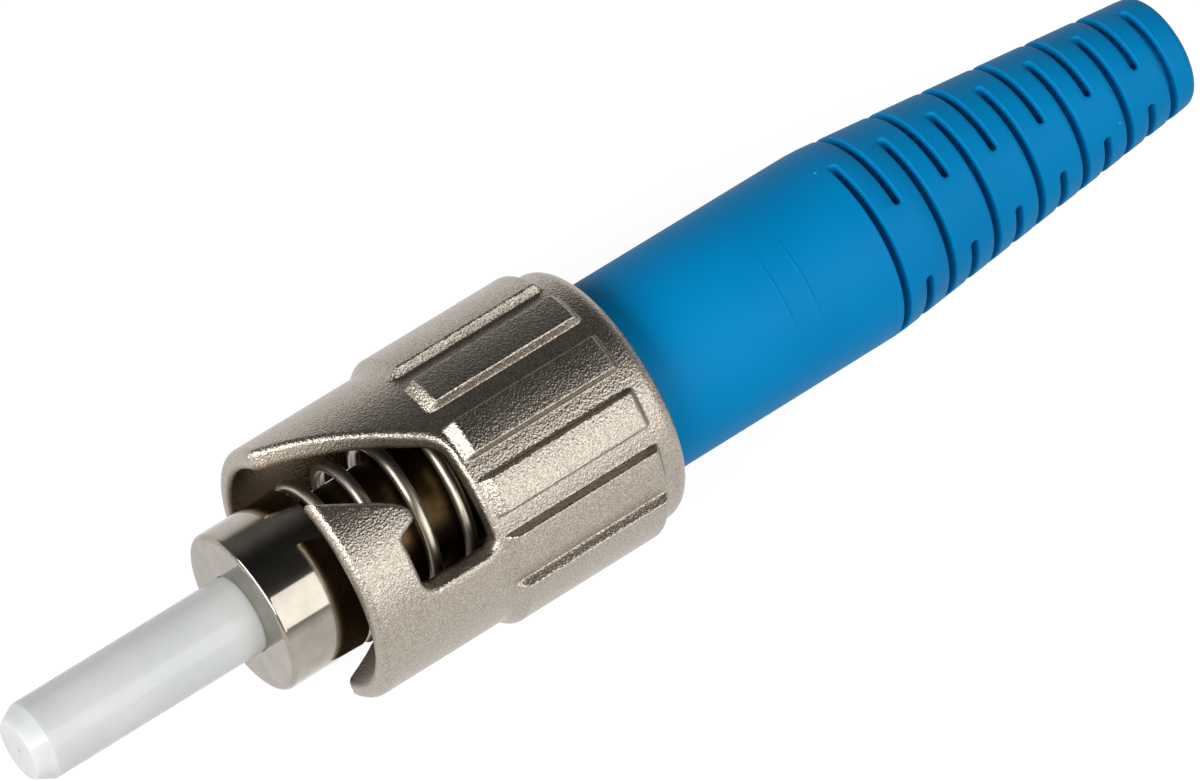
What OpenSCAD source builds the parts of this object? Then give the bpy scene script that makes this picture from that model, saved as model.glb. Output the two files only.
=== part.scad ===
// ST bayonet fibre connector for a 2 mm simplex cable, lying on its side.
// The axis runs along X: the ferrule points to -X and the boot to +X. The origin is on the
// axis, in the front face of the flange that carries the ferrule. Angles turn about +X.

/* [Ferrule] */
// Outside diameter of the ceramic ferrule
ferrule_d = 2.5; // [2.2:0.1:3]
// Length of the ferrule, tip to funnel
ferrule_len = 12; // [11:0.5:14]
// Length that stands out of the flange
ferrule_out = 7.85; // [6.5:0.05:9]
// Diameter of the fibre bore
fibre_bore_d = 0.127; // [0.125:0.001:0.14]
// Width of the cone round the flat polished end
tip_cone_w = 0.3; // [0.15:0.05:0.5]
// Length of the cone behind the polished end
tip_cone_len = 0.55; // [0.3:0.05:0.8]
// Mouth diameter of the funnel that takes the fibre in
funnel_d = 0.95; // [0.6:0.05:1.3]
// Depth of the funnel
funnel_depth = 1.1; // [0.6:0.1:2]

/* [Plug body] */
// How far the flange's edge lies inside the spring's outside
flange_step = 0.075; // [0:0.005:0.2]
// Length of the flange
flange_len = 2.65; // [2:0.05:3.4]
// Radius of the flange's front edge
flange_edge_r = 0.15; // [0.05:0.05:0.3]
// Width of the key on the flange
key_w = 1; // [0.6:0.1:1.4]
// Height of the key above the flange
key_h = 0.45; // [0.2:0.05:0.6]
// Length of the key
key_len = 1.7; // [1:0.1:1.9]
// Diameter of the stem that the spring and the nut ride on
stem_d = 3.9; // [3.6:0.1:4.2]
// Length of the shoulder behind the clip groove
shoulder_len = 0.8; // [0.5:0.1:1.5]
// Room for the cable's yarn between the stem's radius and the post's teeth
yarn_room = 0.2; // [0.1:0.05:0.4]
// Length of the crimp post
post_len = 5.8; // [4:0.1:7]
// Spacing of the post's ring teeth
tooth_pitch = 0.5; // [0.4:0.1:0.8]
// Depth of the post's ring teeth
tooth_depth = 0.15; // [0.05:0.05:0.25]

/* [Spring and washer] */
// Wire diameter of the spring
wire_d = 0.42; // [0.35:0.01:0.5]
// Room between the stem and the coils
coil_room = 0.305; // [0.1:0.005:0.4]
// Installed length of the spring
spring_len = 6.1; // [5.5:0.1:7]
// Active turns of the spring
active_turns = 4; // [3:0.25:5]
// Closed part of a turn at each end
closed_turns = 0.45; // [0.25:0.05:1]
// Angle at which the front end of the wire starts
wire_start = 40; // [0:5:355]
// Thickness of the washer between spring and nut
washer_t = 0.3; // [0.2:0.05:0.5]
// Room between the washer's edge and the nut's bore
washer_room = 0.35; // [0.1:0.05:0.6]

/* [Coupling nut] */
// Room for the adapter's barrel, from the flange to the nut's bore
barrel_room = 0.95; // [0.8:0.01:1.1]
// Depth of that bore, rim to web
barrel_bore_depth = 6.93; // [6.6:0.01:7.5]
// Wall of the sleeve
sleeve_wall = 0.61; // [0.5:0.01:0.8]
// Thickness of the inner web
web_t = 1.2; // [0.8:0.1:1.6]
// Length of the skirt behind the web
skirt_len = 3; // [2:0.1:4]
// Room between the skirt and the boot
skirt_room = 0.27; // [0.1:0.01:0.4]
// Radius of the outer edge of the rim
rim_edge_r = 0.3; // [0.1:0.05:0.4]
// Radius of the outer edge at the back
back_edge_r = 0.5; // [0.2:0.05:0.6]
// Radius of the two inner edges
bore_edge_r = 0.15; // [0.05:0.05:0.25]

/* [Grip ribs] */
// Number of ribs
ribs = 14; // [10:1:18]
// Height of a rib above the sleeve
rib_h = 0.29; // [0.2:0.01:0.5]
// Rib width at its top, as an angle
rib_top = 13.6; // [10:0.2:16]
// Extra angle of each flank down to the sleeve
rib_flank = 3.1; // [1:0.1:4]
// Distance from the slots' back wall to the foot of the ribs
rib_margin = 0.2; // [0.1:0.05:0.6]
// Length of the sloped front of a rib
rib_front_slope = 0.37; // [0.2:0.01:0.6]
// Length of the sloped back of a rib
rib_back_slope = 0.2; // [0.1:0.05:0.4]
// Distance from the foot of the ribs to the back of the nut
rib_back = 0.9; // [0.7:0.05:1.5]

/* [Bayonet slots] */
// Number of slots
slots = 2; // [1:1:2]
// Angle at which the lead-in side of a slot leaves the rim
lead_start = -68.2; // [-75:0.1:-60]
// Turn of the lead-in side per millimetre of depth
lead_turn = 11.2; // [10:0.1:13]
// Angle at which the hook side leaves the rim
hook_start = -25; // [-30:0.5:-20]
// Turn of the hook side per millimetre of depth
hook_turn = 8.4; // [7.5:0.1:9.5]
// Radius of the corner where the lead-in side meets the rim
lead_corner = 0.5; // [0.2:0.1:0.8]
// Depth of the pocket's front wall behind the rim
pocket_depth = 1.85; // [1.5:0.01:2.1]
// Height of the hook's nose above that wall
nose_h = 0.67; // [0.4:0.01:0.9]
// Way for the adapter's stud between the nose and the slot's back wall
stud_way = 1.94; // [1.7:0.01:2.1]
// Angle of the crest of the hook's nose
nose_angle = 1; // [-2:0.5:3]
// Angles between which the nose drops into the pocket
nose_drop = [3, 9.5];
// Angle of the pocket's closed end
pocket_end = 34; // [28:0.5:40]
// Corner radius of the pocket
pocket_r = 0.45; // [0.2:0.05:0.7]
// Radius of the outer edges of a slot
slot_edge_r = 0.2; // [0.1:0.05:0.25]

/* [Clip, crimp sleeve and guide tube] */
// Thickness of the retaining clip
clip_t = 0.5; // [0.3:0.05:0.7]
// Height of the clip above the stem
clip_h = 0.75; // [0.5:0.05:1]
// Depth of the groove that the clip snaps into
clip_groove = 0.35; // [0.2:0.05:0.5]
// Opening of the clip
clip_gap = 70; // [40:5:100]
// Wall of the crimp sleeve
crimp_wall = 0.3; // [0.2:0.05:0.4]
// Length of the crimp sleeve beyond shoulder and post
crimp_over = 0.6; // [0.2:0.1:1.5]
// Outside diameter of the guide tube
tube_d = 1.5; // [1.3:0.1:1.8]
// Wall of the guide tube
tube_wall = 0.25; // [0.15:0.05:0.3]
// Length of the guide tube that stands out of the post
tube_out = 1; // [0.5:0.1:2]

/* [Strain relief boot] */
// Wall of the boot round the crimp sleeve
boot_wall = 0.86; // [0.7:0.01:1]
// Distance from the front of the crimp sleeve to the front of the boot
boot_setback = 0.24; // [0.1:0.02:1]
// Length of the straight part
boot_straight = 11.1; // [10.2:0.05:13]
// Length of the ribbed taper
boot_taper = 12.15; // [11.9:0.05:15]
// Wall at the cable end
boot_end_wall = 0.775; // [0.6:0.025:1]
// Radius of the boot's end edges
boot_edge_r = 0.2; // [0.1:0.05:0.3]
// Bore that the cable leaves by
cable_bore_d = 2.2; // [1.8:0.1:2.4]
// Length of the cone inside, from crimp sleeve to cable bore
boot_inner_cone = 2.4; // [1.5:0.1:3]
// Rings of grooves at even steps
groove_rings = 7; // [4:1:8]
// Distance from the last ring to the cable end
groove_land = 0.96; // [0.6:0.02:2]
// Width of a groove
groove_w = 0.27; // [0.2:0.01:0.4]
// Wall left round the cable bore under a groove
groove_floor = 0.45; // [0.3:0.05:0.6]
// Web left between two grooves of a ring, at the first ring and at the last
groove_web = [50, 34];
// Angle of the middle of the grooves in the even rings
groove_turn = 137; // [0:1:359]

/* [Fits] */
// Radial clearance of what turns or slides on the stem
running_gap = 0.06; // [0.02:0.01:0.08]
// Radial clearance of what is pressed or pushed on
seat_gap = 0.02; // [0.01:0.01:0.04]
// Axial clearance between faces that bear on each other
face_gap = 0.02; // [0.01:0.01:0.05]

/* [Hidden] */
$fn = 96;
// Overshoot of cutting shapes
over = 0.5;

// Diameters, from the stem outwards
spring_d = stem_d + 2 * (coil_room + wire_d);
flange_d = spring_d - 2 * flange_step;
barrel_bore_d = flange_d + 2 * barrel_room;
crimp_bore_r = stem_d / 2 + seat_gap;
crimp_r = crimp_bore_r + crimp_wall;
boot_socket_r = crimp_r + seat_gap;
boot_d = 2 * (boot_socket_r + boot_wall);
boot_end_d = cable_bore_d + 2 * boot_end_wall;
skirt_bore_d = boot_d + 2 * skirt_room;
sleeve_d = max(barrel_bore_d, skirt_bore_d) + 2 * sleeve_wall;
grip_d = sleeve_d + 2 * rib_h;

// Depths of a slot, from the rim
nose_depth = pocket_depth + nose_h;
slot_depth = nose_depth + stud_way;

// Places along X, from the flange back to the end of the boot
spring_x = flange_len + face_gap;
washer_x = flange_len + spring_len;
web_x = washer_x + washer_t + face_gap;
web_back = web_x + web_t;
rim_x = web_x - barrel_bore_depth;
nut_back = web_back + skirt_len;
clip_x = web_back + face_gap;
groove_back = clip_x + clip_t + face_gap;
post_x = groove_back + shoulder_len;
post_end = post_x + post_len;
crimp_x = groove_back + face_gap;
crimp_end = crimp_x + shoulder_len + post_len + crimp_over;
boot_x = crimp_x + boot_setback;
taper_x = boot_x + boot_straight;
boot_end = taper_x + boot_taper;
ferrule_back = ferrule_len - ferrule_out;

// Radii that follow from the driving sizes
ferrule_r = ferrule_d / 2;
stem_r = stem_d / 2;
sleeve_r = sleeve_d / 2;
grip_r = grip_d / 2;
barrel_bore_r = barrel_bore_d / 2;
groove_r = stem_r - clip_groove;
post_r = stem_r - yarn_room;
cable_r = cable_bore_d / 2;
tube_r = tube_d / 2;

// The nut lies on two neighbouring ribs: a gap between ribs points straight down, and the
// angles of the ribs and slots are counted from another gap, this far round.
rib_pitch = 360 / ribs;
rest_turn = round(ribs * 4 / 7) * rib_pitch - 90;

// Turns a solid of revolution's axis from Z to X, with its profile's height along +X and
// angle 0 at +Y, so that angles grow about +X.
module along_x() multmatrix([[0, 0, 1, 0], [1, 0, 0, 0], [0, 1, 0, 0]]) children();

// A disc of radius r from x to x + length.
module disc(x, length, r) along_x() translate([0, 0, x]) cylinder(h = length, r = r);

// A cone between two radii.
module taper(x, length, r1, r2) along_x() translate([0, 0, x]) cylinder(h = length, r1 = r1, r2 = r2);

// Profile of a straight tube from x to x + length.
module band(x, length, r_in, r_out) translate([r_in, x]) square([r_out - r_in, length]);

// The waste outside a rounded corner at (r, x): sr and sx point from the corner into the metal.
module corner_waste(r, x, radius, sr, sx) {
    difference() {
        translate([r + min(sr, 0) * radius - max(sr, 0) * over, x + min(sx, 0) * radius - max(sx, 0) * over])
            square(radius + over);
        translate([r + sr * radius, x + sx * radius]) circle(r = radius);
    }
}

// The smaller or the larger of two values, rounded off where they cross within a width k.
function smooth_min(a, b, k) = min(a, b) - pow(max(k - abs(a - b), 0), 2) / (4 * k);
function smooth_max(a, b, k) = max(a, b) + pow(max(k - abs(a - b), 0), 2) / (4 * k);

// ---- Ferrule: a ground ceramic pin with a fibre bore and a funnel at its back ----
module ferrule() {
    tip = -ferrule_out;
    color("whitesmoke")
    difference() {
        union() {
            taper(tip, tip_cone_len, ferrule_r - tip_cone_w, ferrule_r);
            disc(tip + tip_cone_len, ferrule_len - tip_cone_len, ferrule_r);
        }
        disc(tip - over, ferrule_len + 2 * over, fibre_bore_d / 2);
        taper(ferrule_back - funnel_depth, funnel_depth, fibre_bore_d / 2, funnel_d / 2);
    }
}

// ---- Plug body: turned flange, stem with a clip groove, and a toothed crimp post ----
module plug_body_profile() {
    difference() {
        union() {
            band(0, flange_len, 0, flange_d / 2);
            band(flange_len, post_x - flange_len, 0, stem_r);
            band(post_x, post_len, 0, post_r - tooth_depth);
            for (x = [post_x : tooth_pitch : post_end - tooth_pitch])
                polygon([[0, x], [post_r, x + tooth_pitch / 2], [0, x + tooth_pitch]]);
        }
        corner_waste(flange_d / 2, 0, flange_edge_r, -1, 1);
        band(clip_x - face_gap, clip_t + 2 * face_gap, groove_r, stem_r + over);
        band(-over, ferrule_back + face_gap + over, 0, ferrule_r + seat_gap);
        band(0, post_end + over, 0, tube_r + seat_gap);
    }
}

module flange_key() {
    key_base = flange_d / 2 - over;
    rotate([rest_turn + 90, 0, 0])
        translate([(flange_len - key_len) / 2, -key_w / 2, key_base])
            cube([key_len, key_w, over + key_h]);
}

module plug_body() {
    color("silver") {
        along_x() rotate_extrude() plug_body_profile();
        flange_key();
    }
}

// ---- Spring: one round wire wound left-handed with closed ends ----
wire_sides = 8;
steps_per_turn = 24;
coil_mid_r = (spring_d - wire_d) / 2;
coil_turns = active_turns + 2 * closed_turns;
closed_pitch = wire_d + face_gap;
coil_rise = spring_len - 2 * face_gap - wire_d;
active_pitch = (coil_rise - 2 * closed_turns * closed_pitch) / active_turns;

// Distance of the wire's centre from its first position after t turns
function coil_x(t) =
    closed_pitch * (min(t, closed_turns) + max(t - closed_turns - active_turns, 0))
    + active_pitch * min(max(t - closed_turns, 0), active_turns);

function wire_ring(t) = [
    for (k = [0 : wire_sides - 1])
        let (a = k * 360 / wire_sides, turn = wire_start - 360 * t,
             r = coil_mid_r + wire_d / 2 * cos(a),
             x = spring_x + wire_d / 2 + coil_x(t) + wire_d / 2 * sin(a))
        [x, r * cos(turn), r * sin(turn)]
];

module spring() {
    rings = round(coil_turns * steps_per_turn);
    n = wire_sides;
    points = [for (i = [0 : rings]) each wire_ring(i * coil_turns / rings)];
    sides = [
        for (i = [0 : rings - 1], k = [0 : n - 1])
            let (a = i * n + k, b = i * n + (k + 1) % n)
            each [[a, b + n, b], [a, a + n, b + n]]
    ];
    first = [for (k = [0 : n - 1]) k];
    last = [for (k = [n - 1 : -1 : 0]) rings * n + k];
    color("darkgray") polyhedron(points, concat([first], sides, [last]), convexity = 12);
}

// ---- Washer: lets the nut turn against the end of the spring ----
module thrust_washer() {
    color("gainsboro")
    difference() {
        disc(washer_x, washer_t, barrel_bore_r - washer_room);
        disc(washer_x - over, washer_t + 2 * over, stem_r + running_gap);
    }
}

// ---- Coupling nut: cast sleeve with a web, grip ribs and two bayonet slots ----
module nut_profile() {
    difference() {
        band(rim_x, nut_back - rim_x, stem_r + running_gap, sleeve_r);
        band(rim_x - over, barrel_bore_depth + over, 0, barrel_bore_r);
        band(web_back, skirt_len + over, 0, skirt_bore_d / 2);
        corner_waste(sleeve_r, rim_x, rim_edge_r, -1, 1);
        corner_waste(barrel_bore_r, rim_x, bore_edge_r, 1, 1);
        corner_waste(sleeve_r, nut_back, back_edge_r, -1, -1);
        corner_waste(skirt_bore_d / 2, nut_back, bore_edge_r, 1, -1);
    }
}

module grip_ribs() {
    foot = rim_x + slot_depth + rib_margin;
    heel = nut_back - rib_back;
    root = (barrel_bore_r + sleeve_r) / 2;
    half_top = rib_top / 2;
    half_root = half_top + rib_flank * (grip_r - root) / (grip_r - sleeve_r);
    reach = grip_r + over;
    half_reach = half_top - rib_flank * over / (grip_r - sleeve_r);
    intersection() {
        along_x() rotate_extrude()
            polygon([[root, foot], [sleeve_r, foot], [grip_r, foot + rib_front_slope],
                     [grip_r, heel - rib_back_slope], [sleeve_r, heel], [root, heel]]);
        along_x() translate([0, 0, foot - over])
            for (i = [0 : ribs - 1])
                rotate((i + 0.5) * rib_pitch)
                    linear_extrude(heel - foot + 2 * over)
                        polygon([[root * cos(half_root), -root * sin(half_root)],
                                 [reach * cos(half_reach), -reach * sin(half_reach)],
                                 [reach * cos(half_reach), reach * sin(half_reach)],
                                 [root * cos(half_root), root * sin(half_root)]]);
    }
}

// Depths of a slot's two sides behind the rim, at an angle round the nut
pocket_corner = pocket_r / sleeve_r * 180 / PI;
function end_round(a) =
    let (u = max(a - pocket_end + pocket_corner, 0) / pocket_corner)
    pocket_r * (1 - sqrt(max(1 - u * u, 0)));
function lead_depth(a) = smooth_max((a - lead_start) / lead_turn, -lead_corner / 4, lead_corner);
function back_depth(a) = smooth_min(lead_depth(a), slot_depth, 0.9) - end_round(a);
function nose_side(a) =
    let (s = min(max((a - nose_drop[0]) / (nose_drop[1] - nose_drop[0]), 0), 1))
    nose_depth - pow((a - nose_angle) * sleeve_r * PI / 180, 2) * 0.45 * (1 - s)
    - (nose_depth - pocket_depth) * (1 - cos(180 * s)) / 2;
function front_depth(a) =
    smooth_min((a - hook_start) / hook_turn, a < nose_angle - 12 ? nose_depth : nose_side(a), 0.25) + end_round(a);

// Angles at which the slot's sides are worked out: closest where they bend most
mouth = hook_start - lead_start;
hook = nose_angle - hook_start;
drop = nose_drop[1] - nose_angle;
pocket_flat = pocket_end - pocket_corner - nose_drop[1];
slot_columns = concat(
    [for (t = [-8, -5, -2, 1, 4.5]) lead_start + t],
    [for (i = [1 : 5]) lead_start + 4.5 + (mouth - 8) * i / 5],
    [for (i = [1 : 8]) hook_start - 3.5 + (hook - 2) * i / 8],
    [for (i = [1 : 6]) nose_angle - 5.5 + (drop + 5.5) * i / 6],
    [for (i = [1 : 3]) nose_drop[1] + pocket_flat * i / 3],
    [for (b = [22.5 : 22.5 : 90]) pocket_end - pocket_corner * (1 - sin(b))]
);

// Levels of the cutter: radius, and how far its sides stand outside the slot there
slot_levels = [
    [barrel_bore_r - over, 0],
    [sleeve_r - slot_edge_r, 0],
    [sleeve_r - slot_edge_r / 2, slot_edge_r / 8],
    [sleeve_r + slot_edge_r / 2, slot_edge_r * 9 / 8]
];

// Outward direction in the unrolled surface at column i, for the front or the back side
function side_normal(i, front) =
    let (last = len(slot_columns) - 1, p = slot_columns[max(i - 1, 0)], q = slot_columns[min(i + 1, last)],
         du = (q - p) * sleeve_r * PI / 180,
         dx = front ? front_depth(q) - front_depth(p) : back_depth(q) - back_depth(p),
         n = norm([du, dx]))
    front ? [dx / n, -du / n] : [-dx / n, du / n];

function slot_point(i, front, level) =
    let (a = slot_columns[i], n = side_normal(i, front), r = level[0],
         turn = a + n[0] * level[1] / sleeve_r * 180 / PI,
         depth = (front ? max(front_depth(a), -1) : back_depth(a)) + n[1] * level[1])
    [rim_x + depth, r * cos(turn), r * sin(turn)];

module slot_cutter() {
    columns = len(slot_columns);
    levels = len(slot_levels);
    // A ring of points per column: up the front side, then down the back side
    ring = 2 * levels;
    points = [
        for (i = [0 : columns - 1])
            each concat(
                [for (j = [0 : levels - 1]) slot_point(i, true, slot_levels[j])],
                [for (j = [levels - 1 : -1 : 0]) slot_point(i, false, slot_levels[j])])
    ];
    sides = [
        for (i = [0 : columns - 2], k = [0 : ring - 1])
            let (a = i * ring + k, b = i * ring + (k + 1) % ring)
            each [[a, b + ring, a + ring], [a, b, b + ring]]
    ];
    strip = function (base, flip) [
        for (j = [0 : levels - 2])
            let (a = base + j, b = base + j + 1, c = base + ring - 2 - j, d = base + ring - 1 - j)
            each flip ? [[a, c, b], [a, d, c]] : [[a, b, c], [a, c, d]]
    ];
    polyhedron(points, concat(sides, strip(0, true), strip((columns - 1) * ring, false)), convexity = 6);
}

module coupling_nut() {
    color("darkgray")
    rotate([rest_turn, 0, 0])
    difference() {
        union() {
            along_x() rotate_extrude() nut_profile();
            grip_ribs();
        }
        for (i = [0 : slots - 1])
            rotate([i * 360 / slots, 0, 0]) slot_cutter();
    }
}

// ---- Retaining clip: a spring ring snapped into the stem's groove behind the web ----
module retaining_clip() {
    color("dimgray")
    along_x() rotate(clip_gap / 2) rotate_extrude(angle = 360 - clip_gap)
        band(clip_x, clip_t, groove_r + seat_gap, stem_r + clip_h);
}

// ---- Crimp sleeve: a plain tube that holds the cable's yarn on the post ----
module crimp_sleeve() {
    color("silver")
    difference() {
        disc(crimp_x, crimp_end - crimp_x, crimp_r);
        disc(crimp_x - over, crimp_end - crimp_x + 2 * over, crimp_bore_r);
    }
}

// ---- Guide tube: leads the buffered fibre through the post to the ferrule ----
module guide_tube() {
    tube_x = ferrule_back + 2 * face_gap;
    color("ivory")
    difference() {
        disc(tube_x, post_end + tube_out - tube_x, tube_r);
        disc(tube_x - over, post_end + tube_out - tube_x + 2 * over, tube_r - tube_wall);
    }
}

// ---- Boot: moulded strain relief, straight and then tapering under staggered grooves ----
module boot_profile() {
    difference() {
        union() {
            band(boot_x, boot_straight, cable_r, boot_d / 2);
            polygon([[cable_r, taper_x], [boot_d / 2, taper_x], [boot_end_d / 2, boot_end],
                     [cable_r, boot_end]]);
        }
        corner_waste(boot_d / 2, boot_x, boot_edge_r, -1, 1);
        corner_waste(boot_end_d / 2, boot_end, boot_edge_r, -1, -1);
        band(boot_x - over, crimp_end + 2 * face_gap - boot_x + over, 0, boot_socket_r);
        polygon([[0, crimp_end], [boot_socket_r, crimp_end + 2 * face_gap],
                 [cable_r, crimp_end + 2 * face_gap + boot_inner_cone], [0, boot_end]]);
    }
}

// One ring: two grooves face to face, with a web left between them on each side
module groove_pair(x, turn, web) {
    for (side = [0, 180])
        along_x() rotate(turn + side - 90 + web / 2)
            rotate_extrude(angle = 180 - web)
                band(x - groove_w / 2, groove_w, cable_r + groove_floor, boot_d / 2 + over);
}

module strain_relief_boot() {
    // Even rings, and one odd ring a quarter turn round in the middle of each step
    steps = 2 * (groove_rings - 1);
    groove_step = (boot_taper - groove_land) / steps;
    color("deepskyblue")
    difference() {
        along_x() rotate_extrude() boot_profile();
        for (i = [0 : steps])
            groove_pair(taper_x + i * groove_step, groove_turn + 90 * (i % 2),
                        groove_web[0] + (groove_web[1] - groove_web[0]) * i / steps);
    }
}

ferrule();
plug_body();
spring();
thrust_washer();
coupling_nut();
retaining_clip();
crimp_sleeve();
guide_tube();
strain_relief_boot();
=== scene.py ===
# ST bayonet fibre connector: a ceramic ferrule in a polished plug body, a spring-loaded die-cast
# coupling nut and a blue strain-relief boot. The axis runs along X and the ferrule points to -X.
import math

import bmesh
import bpy
import numpy as np
from mathutils import Matrix, Vector


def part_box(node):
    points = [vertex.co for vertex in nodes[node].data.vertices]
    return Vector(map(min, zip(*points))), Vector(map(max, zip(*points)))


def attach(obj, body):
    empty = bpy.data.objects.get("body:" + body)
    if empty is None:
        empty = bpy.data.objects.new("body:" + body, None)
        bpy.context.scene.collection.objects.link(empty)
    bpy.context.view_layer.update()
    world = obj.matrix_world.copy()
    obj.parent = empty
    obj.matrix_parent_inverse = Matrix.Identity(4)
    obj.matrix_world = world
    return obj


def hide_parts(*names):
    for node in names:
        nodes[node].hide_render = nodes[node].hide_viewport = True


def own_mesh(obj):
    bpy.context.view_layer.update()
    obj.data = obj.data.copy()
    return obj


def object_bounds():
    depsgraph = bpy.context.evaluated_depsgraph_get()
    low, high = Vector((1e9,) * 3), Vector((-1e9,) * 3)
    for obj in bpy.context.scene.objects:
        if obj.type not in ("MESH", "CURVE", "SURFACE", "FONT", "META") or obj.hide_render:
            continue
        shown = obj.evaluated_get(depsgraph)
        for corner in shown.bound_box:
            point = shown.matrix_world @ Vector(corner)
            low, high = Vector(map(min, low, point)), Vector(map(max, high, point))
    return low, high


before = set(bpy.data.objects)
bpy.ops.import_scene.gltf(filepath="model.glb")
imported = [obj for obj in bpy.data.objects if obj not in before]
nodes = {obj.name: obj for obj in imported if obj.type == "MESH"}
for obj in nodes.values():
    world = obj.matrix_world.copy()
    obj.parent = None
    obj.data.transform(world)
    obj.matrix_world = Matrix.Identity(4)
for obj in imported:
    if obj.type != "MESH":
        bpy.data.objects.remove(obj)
cad_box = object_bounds()

# ---- Ferrule ----
# A pin of zirconia ceramic, pressed, sintered and ground round to a micrometre. It is bonded into
# the plug body and its end is polished. The ceramic is milky white and lets a little light in.
mm = 0.001


def linear(hex_colour):
    """An sRGB hex colour as linear RGBA."""
    parts = [int(hex_colour[i:i + 2], 16) / 255 for i in (1, 3, 5)]
    return [c / 12.92 if c <= 0.04045 else ((c + 0.055) / 1.055) ** 2.4 for c in parts] + [1]


def add(tree, kind, inputs=None, stops=(), **settings):
    """Adds a node. An input takes a value, a socket, or a node, which stands for its first output.
    Stops are the places and hex colours of a colour ramp, and settings the node's properties."""
    made = tree.nodes.new(kind)
    for name, value in settings.items():
        setattr(made, name, value)
    for name, value in (inputs or {}).items():
        if isinstance(value, bpy.types.Node):
            value = value.outputs[0]
        if isinstance(value, bpy.types.NodeSocket):
            tree.links.new(value, made.inputs[name])
        else:
            made.inputs[name].default_value = value
    for i, (place, colour) in enumerate(stops):
        elements = made.color_ramp.elements
        if len(elements) < len(stops):
            elements.new(0.5)
        elements[i].position = place
        elements[i].color = linear(colour)
    return made


def new_material(name):
    """An empty node material and its tree."""
    made = bpy.data.materials.new(name)
    made.use_nodes = True
    made.node_tree.nodes.clear()
    return made, made.node_tree


def dress(piece, material):
    """Gives a piece one material all over."""
    piece.data.materials.clear()
    piece.data.materials.append(material)


# Ground ceramic has a smooth satin skin over a milky body
zirconia, tree = new_material("ground_zirconia")
place = add(tree, "ShaderNodeTexCoord").outputs["Object"]
# Grinding leaves rings finer than 10 micrometres; they are drawn ten times as coarse to show
stretched = add(tree, "ShaderNodeMapping", {
    "Vector": place, "Scale": (1 / (0.10 * mm), 1 / (4 * mm), 1 / (4 * mm))})
rings = add(tree, "ShaderNodeTexNoise", {"Vector": stretched, "Scale": 1.0, "Detail": 3.0})
cloud = add(tree, "ShaderNodeTexNoise", {"Vector": place, "Scale": 1 / (2.2 * mm), "Detail": 2.0})
milk = add(tree, "ShaderNodeValToRGB", {"Fac": cloud}, [(0.35, "#c5c8c7"), (0.65, "#cccecc")])
ground = add(tree, "ShaderNodeBump", {"Height": rings, "Strength": 0.03, "Distance": 0.01 * mm})
rough = add(tree, "ShaderNodeMapRange", {"Value": rings, "To Min": 0.18, "To Max": 0.25})
surface = add(tree, "ShaderNodeBsdfPrincipled", {
    "Base Color": milk, "Roughness": rough, "IOR": 1.45, "Normal": ground,
    "Subsurface Weight": 0.8, "Subsurface Scale": 0.8 * mm, "Subsurface Radius": (1.0, 0.95, 0.9)})
add(tree, "ShaderNodeOutputMaterial", {"Surface": surface})
dress(nodes["ferrule"], zirconia)

# ---- Plug body ----
# The plug's core, turned from brass bar and plated with bright nickel. Its flange is polished like
# a mirror. The stem behind it carries the spring and is dull under a film of brown grease; its dark
# brown is also painted shade of the deep hollow inside the nut.
bright_nickel, tree = new_material("polished_nickel_plate")
place = add(tree, "ShaderNodeTexCoord").outputs["Object"]
# Turning marks round the axis, about 0.04 mm apart
stretched = add(tree, "ShaderNodeMapping", {
    "Vector": place, "Scale": (1 / (0.04 * mm), 1 / (3 * mm), 1 / (3 * mm))})
marks = add(tree, "ShaderNodeTexNoise", {"Vector": stretched, "Scale": 1.0, "Detail": 2.0})
haze = add(tree, "ShaderNodeTexNoise", {"Vector": place, "Scale": 1 / (0.7 * mm), "Detail": 4.0})
# The grease, darkened further as painted shade inside the nut, starts behind the flange
along = add(tree, "ShaderNodeSeparateXYZ", {0: place}).outputs["X"]
greased_and_shaded = add(tree, "ShaderNodeMapRange", {
    "Value": along, "From Min": 2.3 * mm, "From Max": 2.9 * mm})
plate = add(tree, "ShaderNodeValToRGB", {"Fac": haze}, [(0.3, "#979085"), (0.7, "#a7a094")])
# Brown of the grease, deepened as painted shade of the hollow inside the nut
grease_and_shade = add(tree, "ShaderNodeValToRGB", {"Fac": haze}, [(0.3, "#463522"), (0.7, "#6a5538")])
tint = add(tree, "ShaderNodeMix", {"Factor": greased_and_shaded, 6: plate, 7: grease_and_shade}, data_type="RGBA")
polish = add(tree, "ShaderNodeMapRange", {"Value": haze, "To Min": 0.05, "To Max": 0.12})
rough = add(tree, "ShaderNodeMapRange", {"Value": greased_and_shaded, "To Min": polish, "To Max": 0.38})
lathe_marks = add(tree, "ShaderNodeBump", {
    "Height": marks, "Strength": 0.05, "Distance": 0.005 * mm})
surface = add(tree, "ShaderNodeBsdfPrincipled", {
    "Base Color": tint.outputs[2], "Metallic": 1.0, "Roughness": rough, "Normal": lathe_marks})
add(tree, "ShaderNodeOutputMaterial", {"Surface": surface})
dress(nodes["plug_body"], bright_nickel)

# ---- Spring ----
# Round stainless wire of 0.42 mm, wound cold and left-handed with closed ends. It sits between the
# flange and the washer and drives the nut back against its clip.
wire_r = 0.21
coil_r = 2.465
start_angle = 200
spring_front, spring_back = (corner.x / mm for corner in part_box("spring"))
active, closed, closed_pitch = 4, 0.45, 0.44
turns = active + 2 * closed
active_pitch = (spring_back - spring_front - 2 * wire_r - 2 * closed * closed_pitch) / active
steps, sides = int(turns * 72), 20
t = np.linspace(0, turns, steps + 1)
run = closed_pitch * (np.minimum(t, closed) + np.maximum(t - closed - active, 0)) \
    + active_pitch * np.clip(t - closed, 0, active)
turn = np.radians(start_angle - 360 * t)
round_wire = np.radians(np.arange(sides) * 360 / sides)
radius = coil_r + wire_r * np.cos(round_wire)[None, :]
x = spring_front + wire_r + run[:, None] + wire_r * np.sin(round_wire)[None, :]
points = np.stack([x, radius * np.cos(turn)[:, None], radius * np.sin(turn)[:, None]], 2)
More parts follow.
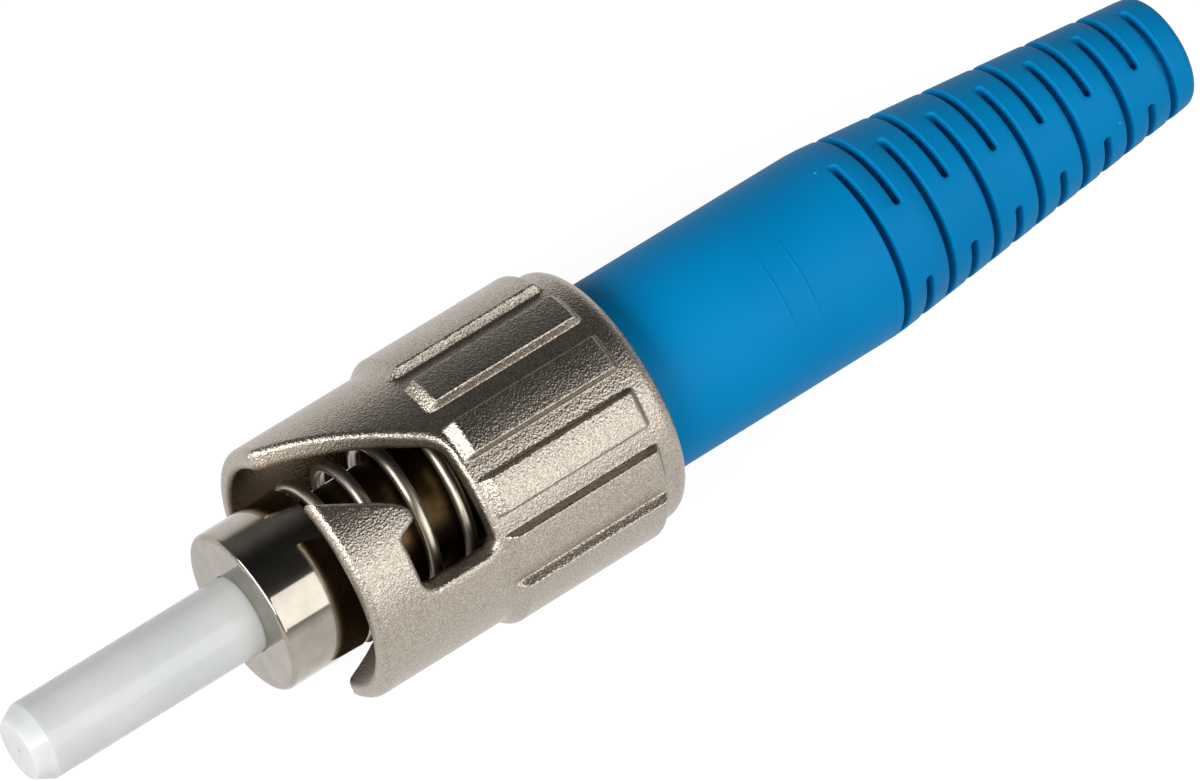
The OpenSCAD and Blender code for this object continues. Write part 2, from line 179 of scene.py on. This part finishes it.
faces = [(i * sides + k, (i + 1) * sides + k,
          (i + 1) * sides + (k + 1) % sides, i * sides + (k + 1) % sides)
         for i in range(steps) for k in range(sides)]
faces += [tuple(range(sides)), tuple(range(steps * sides + sides - 1, steps * sides - 1, -1))]
mesh = bpy.data.meshes.new("coil_spring")
mesh.from_pydata((points.reshape(-1, 3) * mm).tolist(), [], faces)


def into_scene(name, data):
    """Puts a mesh, light or camera into the scene as an object."""
    made = bpy.data.objects.new(name, data)
    bpy.context.scene.collection.objects.link(made)
    return made


def shade_smooth(piece, angle):
    """Smooth shading that keeps edges sharper than the angle."""
    piece.data.polygons.foreach_set("use_smooth", [True] * len(piece.data.polygons))
    piece.data.set_sharp_from_angle(angle=math.radians(angle))


coil_spring = into_scene("coil_spring", mesh)
shade_smooth(coil_spring, 50)

# Drawing leaves steel wire with a smooth, slightly cloudy skin
drawn_wire, tree = new_material("drawn_spring_wire")
place = add(tree, "ShaderNodeTexCoord").outputs["Object"]
streaks = add(tree, "ShaderNodeTexNoise", {"Vector": place, "Scale": 1 / (0.5 * mm), "Detail": 2.0})
tint = add(tree, "ShaderNodeValToRGB", {"Fac": streaks}, [(0.3, "#b5ab9b"), (0.7, "#c8beaf")])
rough = add(tree, "ShaderNodeMapRange", {"Value": streaks, "To Min": 0.32, "To Max": 0.4})
surface = add(tree, "ShaderNodeBsdfPrincipled", {
    "Base Color": tint, "Metallic": 1.0, "Roughness": rough})
add(tree, "ShaderNodeOutputMaterial", {"Surface": surface})
dress(coil_spring, drawn_wire)
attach(coil_spring, "plug")
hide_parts("spring")
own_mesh(coil_spring)

# ---- Washer and retaining clip ----
# Two stamped steel parts: a flat washer that lets the nut turn against the spring, and an open ring
# snapped into the stem's groove, which keeps the nut on the plug.
# Rolled sheet has a fine dull grain, and stamping leaves it bare
rolled_steel, tree = new_material("stamped_steel")
place = add(tree, "ShaderNodeTexCoord").outputs["Object"]
grain = add(tree, "ShaderNodeTexNoise", {"Vector": place, "Scale": 1 / (0.15 * mm), "Detail": 4.0})
tint = add(tree, "ShaderNodeValToRGB", {"Fac": grain}, [(0.3, "#a8a49c"), (0.7, "#bcb8b0")])
rough = add(tree, "ShaderNodeMapRange", {"Value": grain, "To Min": 0.28, "To Max": 0.42})
surface = add(tree, "ShaderNodeBsdfPrincipled", {
    "Base Color": tint, "Metallic": 1.0, "Roughness": rough})
add(tree, "ShaderNodeOutputMaterial", {"Surface": surface})
dress(nodes["thrust_washer"], rolled_steel)
dress(nodes["retaining_clip"], rolled_steel)

# ---- Coupling nut ----
# Zinc, die-cast in one piece with its ribs and its two bayonet slots, tumbled so that every edge is
# soft, blasted with fine beads and plated with nickel. It turns and slides on the plug's stem.
deg = math.pi / 180
rim, nut_end = (corner.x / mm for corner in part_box("coupling_nut"))
# Radii of the sleeve's outside and inside, the ribs' tops, the skirt's inside and the stem's hole
sleeve, bore, grip, skirt, stem = 4.16, 3.55, 4.45, 3.42, 2.01
web_front, web_rear = rim + 6.93, rim + 8.13
# The ribs run from foot to heel, where they slope down over a short length. A rib's width on top
# and at its foot is in degrees, and so is that of the plain land on each side
foot, heel = rim + 4.66, nut_end - 0.9
front_slope, rear_slope = 0.37, 0.2
rib_count, rib_top, rib_foot = 14, 14.8, 17.6
land_top, land_foot = 66, 69
pitch = 360 / rib_count
rest_turn = 8 * pitch - 90


def rise(value, soft):
    """A straight ramp from 0 to 1 whose two ends are rounded off."""
    low = np.clip(value + soft, 0, 2 * soft) ** 2 / (4 * soft)
    high = 1 - np.clip(1 + soft - value, 0, 2 * soft) ** 2 / (4 * soft)
    middle = np.where(value > 1 - soft, high, value)
    return np.where(value < 0.5, np.where(value < soft, low, value), middle)


def rib_height(angle, x):
    """How far the ribs stand above the sleeve, at an angle from rest_turn and a place along X.
    A plain land on each side, over the mould's parting line, takes the place of three ribs."""
    off = abs(angle % pitch - pitch / 2)
    beside = abs(angle % 180 - 90)
    if beside < 1.5 * pitch:
        flank = rise((land_foot / 2 - beside) / ((land_foot - land_top) / 2), 0.3)
    else:
        flank = rise((rib_foot / 2 - off) / ((rib_foot - rib_top) / 2), 0.3)
    front, rear = rise((x - foot) / front_slope, 0.12), rise((heel - x) / rear_slope, 0.25)
    return (grip - sleeve) * flank * front * rear


def rounded(x, r, radius, sx, sr, steps=6):
    """A rounded corner of a turned profile, from the wall at r to the face at x.
    sx and sr are 1 or -1 and point into the metal."""
    angles = [i * math.pi / 2 / steps for i in range(steps + 1)]
    return [(x + sx * radius * (1 - math.sin(a)), r + sr * radius * (1 - math.cos(a)))
            for a in angles]


# The profile as (x, radius) points, with rows close together where the ribs start and end
rows = [np.arange(rim + 0.45, foot - 0.15, 0.2), np.linspace(foot - 0.08, foot + 0.46, 15),
        np.linspace(foot + 0.7, heel - 0.5, 11), np.linspace(heel - 0.27, heel + 0.07, 12)]
profile = rounded(rim, sleeve, 0.3, 1, -1)[::-1]
profile += [(x, sleeve) for x in np.concatenate(rows)]
profile += rounded(nut_end, sleeve, 0.5, -1, -1, 8)
outside = len(profile)
profile += rounded(nut_end, skirt, 0.15, -1, 1, 4)[::-1]
profile += [(web_rear + 0.06, skirt), (web_rear, skirt - 0.06), (web_rear, stem), (web_front, stem)]
profile += [(web_front, bore - 0.06), (web_front - 0.06, bore)]
profile += [(x, bore) for x in np.arange(web_front - 0.6, rim + 0.4, -0.6)]
profile += rounded(rim, bore, 0.15, 1, 1, 4)
# The columns' angles from the middle of each rib, close together on its flanks
offs = [0, 3, 5.8, 6.6, 7.0, 7.2, 7.4, 7.6, 7.8, 8.1, 8.4, 8.6, 8.8, 9.0, 9.3, 10.0, 11.3]
around = {round(i * pitch + pitch / 2 + side * off, 5)
          for i in range(rib_count) for off in offs for side in (-1, 1)}
around |= {round(i * pitch, 5) for i in range(rib_count)}


def solid_mesh(name, rings, closed_ends=False):
    """A closed mesh in mm from a list of rings of points, whose last ring joins the first or
    whose two ends are closed."""
    rings = np.asarray(rings)
    count, size = rings.shape[:2]
    shell = bmesh.new()
    verts = [shell.verts.new(p) for p in rings.reshape(-1, 3).tolist()]
    for i in range(count - 1 if closed_ends else count):
        this, following = i * size, (i + 1) % count * size
        for k in range(size):
            beyond = (k + 1) % size
            corners = this + k, following + k, following + beyond, this + beyond
            shell.faces.new([verts[v] for v in corners])
    if closed_ends:
        for base in (0, (count - 1) * size):
            for j in range(size // 2 - 1):
                corners = j, j + 1, size - 2 - j, size - 1 - j
                shell.faces.new([verts[base + v] for v in corners])
    bmesh.ops.recalc_face_normals(shell, faces=shell.faces)
    made = bpy.data.meshes.new(name)
    shell.to_mesh(made)
    shell.free()
    return into_scene(name, made)


places = np.array(profile)
on_outside = np.arange(len(profile)) < outside
columns = []
for a in sorted(around):
    r = places[:, 1] + np.where(on_outside, rib_height(a, places[:, 0]), 0)
    spun = (a + rest_turn) * deg
    columns.append(np.stack([places[:, 0], r * math.cos(spun), r * math.sin(spun)], 1))
cast_nut = solid_mesh("cast_coupling_nut", columns)

# Each slot is one cut. Its lead-in side winds back from the rim, and its other side is the hook,
# whose nose lets the adapter's stud drop into the pocket. Angles are in degrees from rest_turn,
# depths in mm from the rim, and a twist is degrees for each mm
lead_start, lead_twist, hook_start, hook_twist = -68.2, 11.2, -25, 8.4
pocket, nose, back_wall = 1.85, 2.52, 4.46
nose_crest, pocket_end, pocket_round = 1, 34, 0.45
fall_start, fall_width, nose_bow = 3, 6.5, 0.45
edge = 0.2
pocket_turn = pocket_round / sleeve / deg


def lesser(a, b, k):
    """The smaller of two values, rounded off where they cross within a width k."""
    return min(a, b) - max(k - abs(a - b), 0) ** 2 / (4 * k)


def round_off(a):
    """How much a side draws in at the pocket's closed end, for its rounded corners."""
    u = max(a - pocket_end + pocket_turn, 0) / pocket_turn
    return pocket_round * (1 - math.sqrt(max(1 - u * u, 0)))


def back_side(a):
    """Depth of the slot's far side: the lead-in and then the back wall."""
    lead = -lesser(-(a - lead_start) / lead_twist, 0.125, 0.5)
    return lesser(lead, back_wall, 0.55) - round_off(a)


def hook_side(a):
    """Depth of the slot's near side: the hook's slope, its nose and the pocket."""
    s = min(max((a - fall_start) / fall_width, 0), 1)
    bow = ((a - nose_crest) * sleeve * deg) ** 2 * nose_bow * (1 - s)
    crest = nose - bow - (nose - pocket) * (1 - math.cos(s * math.pi)) / 2
    limit = nose if a < nose_crest - 12 else crest
    return lesser((a - hook_start) / hook_twist, limit, 0.5) + round_off(a)


def lip_levels(top, radius, angles, beyond, slope):
    """Radii and widenings of a cutter that rounds an edge at a radius and opens past it."""
    last = angles[-1] * deg
    clear = beyond + radius * (1 - math.sin(last))
    return [(top - radius, 0)] \
        + [(top - radius + radius * math.sin(a * deg), radius * (1 - math.cos(a * deg)))
           for a in angles] \
        + [(top + beyond, radius * (1 - math.cos(last)) + clear * math.tan(slope * deg))]


def slot_side(side, sign):
    """The unrolled line of one side and its outward direction: angle, depth, across, along."""
    depth = np.array([max(side(a), -1) for a in stations])
    du = np.gradient(stations) * sleeve * deg
    dx = np.gradient(depth)
    n = np.hypot(du, dx)
    return np.stack([stations, depth, sign * dx / n, -sign * du / n], 1)


def carve(piece, cutter):
    """Cuts one closed mesh out of another."""
    cut = piece.modifiers.new("cut", "BOOLEAN")
    cut.operation = "DIFFERENCE"
    cut.solver = "MANIFOLD"
    cut.object = cutter
    bpy.context.view_layer.update()
    seen = piece.evaluated_get(bpy.context.evaluated_depsgraph_get())
    shaped = bpy.data.meshes.new_from_object(seen)
    piece.modifiers.clear()
    piece.data = shaped
    bpy.data.objects.remove(cutter)


# Angles at which the slot's two sides are worked out, close together at its corners
stations = np.concatenate([
    np.linspace(lead_start - 8, lead_start + 6, 12),
    np.linspace(lead_start + 9, hook_start - 4, 12),
    np.linspace(hook_start - 2.5, nose_crest - 7, 13), np.linspace(nose_crest - 6, 13, 20),
    np.linspace(15.5, pocket_end - pocket_turn, 6),
    pocket_end - pocket_turn * (1 - np.sin(np.linspace(9, 90, 10) * deg))])
levels = [(bore - 0.5, 0)] + lip_levels(sleeve, edge, (14, 28, 42, 56), 0.1, 62)
hook_line, back_line = slot_side(hook_side, 1), slot_side(back_side, -1)
for half_turn in (0, 180):
    rings = []
    for hook_row, back_row in zip(hook_line, back_line):
        ring = []
        for row, outward in ((hook_row, levels), (back_row, levels[::-1])):
            angle, depth, across, along = row
            for r, out in outward:
                a = (angle + across * out / sleeve / deg + rest_turn + half_turn) * deg
                ring.append((rim + depth + along * out, r * math.cos(a), r * math.sin(a)))
        rings.append(ring)
    carve(cast_nut, solid_mesh("slot_cutter", rings, closed_ends=True))
cast_nut.data.transform(Matrix.Scale(mm, 4))
shade_smooth(cast_nut, 32)

blasted_nickel, tree = new_material("bead_blasted_nickel_plate")
place = add(tree, "ShaderNodeTexCoord").outputs["Object"]
# Beads of about 0.05 mm leave round dimples that catch the light one by one, drawn coarser to show
dimples = add(tree, "ShaderNodeTexVoronoi", {"Vector": place, "Scale": 1 / (0.08 * mm)})
grit = add(tree, "ShaderNodeTexNoise", {"Vector": place, "Scale": 1 / (0.05 * mm), "Detail": 2.0})
patches = add(tree, "ShaderNodeTexNoise", {"Vector": place, "Scale": 1 / (1.5 * mm), "Detail": 3.0})
# The plate's tone varies at random over the fine grit, and its lighter specks are painted glints of
# the grain
plate = add(tree, "ShaderNodeValToRGB", {"Fac": grit}, [
    (0.32, "#8e867b"), (0.5, "#a79e92"), (0.68, "#bfb6aa")])
# The plate is thin and browned by grease inside the bores, and darkened further there as painted
# shade of the deep hollow
spot = add(tree, "ShaderNodeSeparateXYZ", {0: place})
across = add(tree, "ShaderNodeCombineXYZ", {"Y": spot.outputs["Y"], "Z": spot.outputs["Z"]})
from_axis = add(tree, "ShaderNodeVectorMath", {0: across}, operation="LENGTH").outputs["Value"]
inside = add(tree, "ShaderNodeMapRange", {
    "Value": from_axis, "From Min": 3.75 * mm, "From Max": 3.58 * mm})
tint = add(tree, "ShaderNodeMix", {"Factor": inside, 6: plate, 7: linear("#5c4c38")},
           data_type="RGBA")
rough = add(tree, "ShaderNodeMapRange", {"Value": patches, "To Min": 0.28, "To Max": 0.36})
peened = add(tree, "ShaderNodeBump", {
    "Height": dimples, "Strength": 1.0, "Distance": 0.013 * mm})
blasted = add(tree, "ShaderNodeBump", {
    "Height": grit, "Strength": 1.0, "Distance": 0.012 * mm, "Normal": peened})
surface = add(tree, "ShaderNodeBsdfPrincipled", {
    "Base Color": tint.outputs[2], "Metallic": 1.0, "Roughness": rough, "Normal": blasted})
add(tree, "ShaderNodeOutputMaterial", {"Surface": surface})
dress(cast_nut, blasted_nickel)
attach(cast_nut, "nut")
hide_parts("coupling_nut")

# ---- Crimp sleeve and guide tube ----
# The sleeve is drawn brass tube with a nickel plate, crimped over the cable's yarn. The guide tube
# is extruded nylon and leads the fibre to the ferrule. The boot hides both.
# Drawing leaves fine lines along a tube, about 0.1 mm apart
plated_tube, tree = new_material("nickel_plated_tube")
place = add(tree, "ShaderNodeTexCoord").outputs["Object"]
drawn = add(tree, "ShaderNodeMapping", {
    "Vector": place, "Scale": (1 / (5 * mm), 1 / (0.1 * mm), 1 / (0.1 * mm))})
lines = add(tree, "ShaderNodeTexNoise", {"Vector": drawn, "Scale": 1.0, "Detail": 4.0})
tint = add(tree, "ShaderNodeValToRGB", {"Fac": lines}, [(0.3, "#b3ab9b"), (0.7, "#c8c0b0")])
rough = add(tree, "ShaderNodeMapRange", {"Value": lines, "To Min": 0.2, "To Max": 0.35})
surface = add(tree, "ShaderNodeBsdfPrincipled", {
    "Base Color": tint, "Metallic": 1.0, "Roughness": rough})
add(tree, "ShaderNodeOutputMaterial", {"Surface": surface})
dress(nodes["crimp_sleeve"], plated_tube)

# Natural nylon is cloudy, off-white and half dull
nylon, tree = new_material("extruded_nylon")
place = add(tree, "ShaderNodeTexCoord").outputs["Object"]
cloud = add(tree, "ShaderNodeTexNoise", {"Vector": place, "Scale": 1 / (0.8 * mm), "Detail": 3.0})
tint = add(tree, "ShaderNodeValToRGB", {"Fac": cloud}, [(0.3, "#e4e0d2"), (0.7, "#efece2")])
rough = add(tree, "ShaderNodeMapRange", {"Value": cloud, "To Min": 0.35, "To Max": 0.5})
surface = add(tree, "ShaderNodeBsdfPrincipled", {
    "Base Color": tint, "Roughness": rough, "IOR": 1.53})
add(tree, "ShaderNodeOutputMaterial", {"Surface": surface})
dress(nodes["guide_tube"], nylon)

# ---- Strain-relief boot ----
# Soft blue PVC, moulded in one shot in a split mould. Staggered grooves let its taper bend with the
# cable, and the fine spark-eroded skin of the mould gives it a silky sheen.
boot_front, boot_end = (corner.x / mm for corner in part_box("strain_relief_boot"))
socket_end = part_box("crimp_sleeve")[1].x / mm + 0.04
taper = boot_front + 11.1
boot_r, end_r, socket_r, cable_r = 3.15, 1.875, 2.29, 1.1
columns_round = 180


def boot_surface(x):
    """The boot's outer radius at a place along X."""
    return boot_r - (boot_r - end_r) * min(max((x - taper) / (boot_end - taper), 0), 1)


rows = [np.arange(boot_front + 0.6, taper - 0.7, 0.8),
        np.linspace(taper - 0.2, boot_end - 0.45, 27)]
profile = rounded(boot_front, boot_r, 0.2, 1, -1)[::-1]
profile += [(x, boot_surface(x)) for x in np.concatenate(rows)]
profile += rounded(boot_end, end_r + 0.02, 0.28, -1, -1)
profile += rounded(boot_end, cable_r, 0.15, -1, 1, 4)[::-1]
profile += [(x, cable_r) for x in np.arange(boot_end - 0.9, socket_end + 2.4, -0.9)]
profile += [(socket_end + 2.4, cable_r), (socket_end, socket_r)]
profile += [(boot_front + 0.1, socket_r), (boot_front, socket_r + 0.1)]
places = np.array(profile)
spun = np.radians(np.arange(0, 360, 360 // columns_round))[:, None]
moulded_boot = solid_mesh("moulded_boot", np.stack([
    np.broadcast_to(places[:, 0], (columns_round, len(places))),
    places[:, 1] * np.cos(spun), places[:, 1] * np.sin(spun)], 2))

# Thirteen rings of two grooves each. Every second ring is a quarter turn round, and the webs
# between the grooves narrow towards the end. A groove has round ends and soft lips.
groove_rings, first_web, last_web = 13, 50, 34
groove, floor_r, lip = 0.26, 1.55, 0.09
joined = bmesh.new()
for i in range(groove_rings):
    x = taper + i * (boot_end - taper - 0.96) / (groove_rings - 1)
    surface_r = boot_surface(x)
    web = first_web - (first_web - last_web) * i / (groove_rings - 1)
    depths = [(floor_r, -0.07), (floor_r + 0.03, -0.02), (floor_r + 0.09, 0)]
    depths += lip_levels(surface_r, lip, (15, 30, 45, 57), 0.06, 60)
    # Places along the groove from its middle, and where its round ends begin
    straight = (90 - web / 2) * deg * surface_r - groove / 2
    ends = groove / 2 * np.sin(np.linspace(10, 84, 7) * deg)
    run = np.concatenate([-straight - ends[::-1], np.linspace(-straight, straight, 44),
                          straight + ends])
    v = np.clip((np.abs(run) - straight) / (groove / 2), 0, 1)
    across = np.sqrt(1 - v * v)
    v *= np.sign(run)
    for side in (0, 180):
        middle = (137 + 90 * (i % 2) + side) * deg
        rings = []
        for r, out in depths:
            half = groove / 2 + out
            angle = middle + (run + out * v) / surface_r
            ring = [(x + half * c, r * math.cos(a), r * math.sin(a))
                    for c, a in zip(across, angle)]
            ring += [(x - half * c, r * math.cos(a), r * math.sin(a))
                     for c, a in zip(across[::-1], angle[::-1])]
            rings.append(ring)
        cutter = solid_mesh("groove_cutter", rings, closed_ends=True)
        joined.from_mesh(cutter.data)
        bpy.data.objects.remove(cutter)
mesh = bpy.data.meshes.new("groove_cutters")
joined.to_mesh(mesh)
joined.free()
carve(moulded_boot, into_scene("groove_cutters", mesh))
moulded_boot.data.transform(Matrix.Scale(mm, 4))
shade_smooth(moulded_boot, 35)

soft_pvc, tree = new_material("moulded_soft_pvc")
place = add(tree, "ShaderNodeTexCoord").outputs["Object"]
skin = add(tree, "ShaderNodeTexNoise", {
    "Vector": place, "Scale": 1 / (0.09 * mm), "Detail": 4.0, "Roughness": 0.6})
flow = add(tree, "ShaderNodeTexNoise", {"Vector": place, "Scale": 1 / (5 * mm), "Detail": 3.0})
tint = add(tree, "ShaderNodeValToRGB", {"Fac": flow}, [(0.3, "#0076ae"), (0.7, "#007eb7")])
# A few pale specks of dust cling to the soft skin
motes = add(tree, "ShaderNodeTexVoronoi", {"Vector": place, "Scale": 1 / (0.8 * mm)})
some = add(tree, "ShaderNodeTexNoise", {"Vector": place, "Scale": 1 / (2.5 * mm), "Detail": 1.0})
few = add(tree, "ShaderNodeMapRange", {
    "Value": some, "From Min": 0.5, "From Max": 0.72, "To Min": 0.0, "To Max": 0.1})
dust = add(tree, "ShaderNodeMath", {0: motes, 1: few}, operation="LESS_THAN")
dusty = add(tree, "ShaderNodeMath", {0: dust, 1: 0.35}, operation="MULTIPLY")
coloured = add(tree, "ShaderNodeMix", {"Factor": dusty, 6: tint, 7: linear("#a9c6d8")},
               data_type="RGBA")
rough = add(tree, "ShaderNodeMapRange", {"Value": flow, "To Min": 0.45, "To Max": 0.55})
# The two halves of the mould leave a fine parting line on each side
spot = add(tree, "ShaderNodeSeparateXYZ", {0: place})
angle = add(tree, "ShaderNodeMath", {0: spot.outputs["Z"], 1: spot.outputs["Y"]},
            operation="ARCTAN2")
seam = add(tree, "ShaderNodeMath", {0: angle, 1: 135 * deg}, operation="SUBTRACT")
seam = add(tree, "ShaderNodeMath", {0: seam}, operation="SINE")
seam = add(tree, "ShaderNodeMath", {0: seam}, operation="ABSOLUTE")
parting = add(tree, "ShaderNodeMapRange", {
    "Value": seam, "From Max": 0.016, "To Min": 0.3, "To Max": 0.0})
# The band of a core pin ends in two faint rings, 0.9 mm apart, that show on one side only
off = add(tree, "ShaderNodeMath", {0: spot.outputs["X"], 1: 18.75 * mm}, operation="SUBTRACT")
off = add(tree, "ShaderNodeMath", {0: off}, operation="ABSOLUTE")
off = add(tree, "ShaderNodeMath", {0: off, 1: 0.45 * mm}, operation="SUBTRACT")
off = add(tree, "ShaderNodeMath", {0: off}, operation="ABSOLUTE")
ring_mark = add(tree, "ShaderNodeMapRange", {
    "Value": off, "From Max": 0.05 * mm, "To Min": 1.0, "To Max": 0.0})
swing = add(tree, "ShaderNodeMath", {0: angle, 1: 119 * deg}, operation="SUBTRACT")
swing = add(tree, "ShaderNodeMath", {0: swing}, operation="ABSOLUTE")
window = add(tree, "ShaderNodeMapRange", {
    "Value": swing, "From Min": 12 * deg, "From Max": 30 * deg, "To Min": 1.0, "To Max": 0.0})
marks = add(tree, "ShaderNodeMath", {0: ring_mark, 1: window}, operation="MULTIPLY")
marks = add(tree, "ShaderNodeMath", {0: marks, 1: parting}, operation="ADD")
moulded = add(tree, "ShaderNodeBump", {
    "Height": marks, "Strength": 0.8, "Distance": 0.02 * mm})
silky = add(tree, "ShaderNodeBump", {
    "Height": skin, "Strength": 0.3, "Distance": 0.01 * mm, "Normal": moulded})
surface = add(tree, "ShaderNodeBsdfPrincipled", {
    "Base Color": coloured.outputs[2], "Roughness": rough, "IOR": 1.5,
    "Specular IOR Level": 0.06, "Normal": silky})
add(tree, "ShaderNodeOutputMaterial", {"Surface": surface})
dress(moulded_boot, soft_pvc)
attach(moulded_boot, "plug")
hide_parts("strain_relief_boot")

# ---- Studio ----
# A plain pale floor under the plug, a large soft light at the front, another at the ferrule's end,
# and a dim ceiling, so that the polished metal has something dark to show.
low = cad_box[0].z
reach = 1.5
mesh = bpy.data.meshes.new("floor")
mesh.from_pydata([(-reach, -reach, low), (reach, -reach, low), (reach, reach, low),
                  (-reach, reach, low)], [], [(0, 1, 2, 3)])
floor = into_scene("floor", mesh)
pale, tree = new_material("pale_floor")
rays = add(tree, "ShaderNodeLightPath")
seen = add(tree, "ShaderNodeMath", {
    0: rays.outputs["Is Camera Ray"], 1: rays.outputs["Is Glossy Ray"]}, operation="MAXIMUM")
seen = add(tree, "ShaderNodeMath", {0: seen, 1: rays.outputs["Is Transmission Ray"]},
           operation="MAXIMUM")
paint = add(tree, "ShaderNodeBsdfDiffuse", {"Color": linear("#858585")})
lift = add(tree, "ShaderNodeEmission", {"Color": linear("#ffffff"), "Strength": 0.86})
lifted = add(tree, "ShaderNodeAddShader", {0: paint, 1: lift})
chosen = add(tree, "ShaderNodeMixShader", {0: seen, 1: paint, 2: lifted})
add(tree, "ShaderNodeOutputMaterial", {"Surface": chosen})
dress(floor, pale)


def soft_light(name, place, size, power):
    """A white rectangular light of a size in metres and a power in watts, aimed at the plug."""
    aim = Vector((0.012, 0, 0))
    lamp = bpy.data.lights.new(name, "AREA")
    lamp.shape = "RECTANGLE"
    lamp.size, lamp.size_y = size
    lamp.energy = power
    turn = (Vector(place) - aim).to_track_quat("Z", "Y").to_matrix().to_4x4()
    into_scene(name, lamp).matrix_world = Matrix.Translation(place) @ turn


soft_light("front_light", (0.12, -0.48, 0.37), (0.75, 0.5), 2.7)
soft_light("left_light", (-0.50, 0.0, 0.34), (0.8, 0.25), 4.7)

world = bpy.data.worlds.new("studio")
bpy.context.scene.world = world
world.use_nodes = True
tree = world.node_tree
tree.nodes.clear()
# The ceiling over the plug is dark, the wall behind is dim and the room in front is paler
direction = add(tree, "ShaderNodeTexCoord").outputs["Generated"]
upward = add(tree, "ShaderNodeVectorMath", {0: direction, 1: (0.1, 0.1, 0.99)},
             operation="DOT_PRODUCT").outputs["Value"]
shade = add(tree, "ShaderNodeMapRange", {
    "Value": upward, "From Min": 0.6, "From Max": 0.93, "To Min": 1.0, "To Max": 0.15},
    interpolation_type="SMOOTHSTEP")
forward = add(tree, "ShaderNodeVectorMath", {0: direction, 1: (0, -1, 0)},
              operation="DOT_PRODUCT").outputs["Value"]
wall = add(tree, "ShaderNodeMapRange", {
    "Value": forward, "From Min": -0.5, "From Max": 0.5, "To Min": 0.18, "To Max": 0.38},
    interpolation_type="SMOOTHSTEP")
level = add(tree, "ShaderNodeMath", {0: shade, 1: wall}, operation="MULTIPLY")
# The floor's white runs on into the foot of the walls, so that no horizon shows
height = add(tree, "ShaderNodeSeparateXYZ", {0: direction}).outputs["Z"]
strength = add(tree, "ShaderNodeMapRange", {
    "Value": height, "From Min": 0.02, "From Max": 0.26, "To Min": 1.0, "To Max": level},
    interpolation_type="SMOOTHSTEP")
room = add(tree, "ShaderNodeBackground", {"Color": linear("#ffffff"), "Strength": strength})
add(tree, "ShaderNodeOutputWorld", {"Surface": room})

# ---- Camera ----
# A long lens before the ferrule's end, in front of the plug, looking down at about 57 degrees.
view = bpy.data.cameras.new("camera")
view.sensor_fit = "HORIZONTAL"
view.sensor_width = 36
view.lens = 263
view.clip_start = 0.01
view.clip_end = 10
right, up, back = (0.7954, -0.6042, 0.0480), (0.4887, 0.6863, 0.5387), (-0.3584, -0.4051, 0.8412)
turn = Matrix((right, up, back)).transposed().to_quaternion().to_matrix().to_4x4()
camera = into_scene("camera", view)
camera.matrix_world = Matrix.Translation((-0.07942, -0.10450, 0.21717)) @ turn
bpy.context.scene.camera = camera
bpy.context.scene.view_settings.view_transform = "Standard"
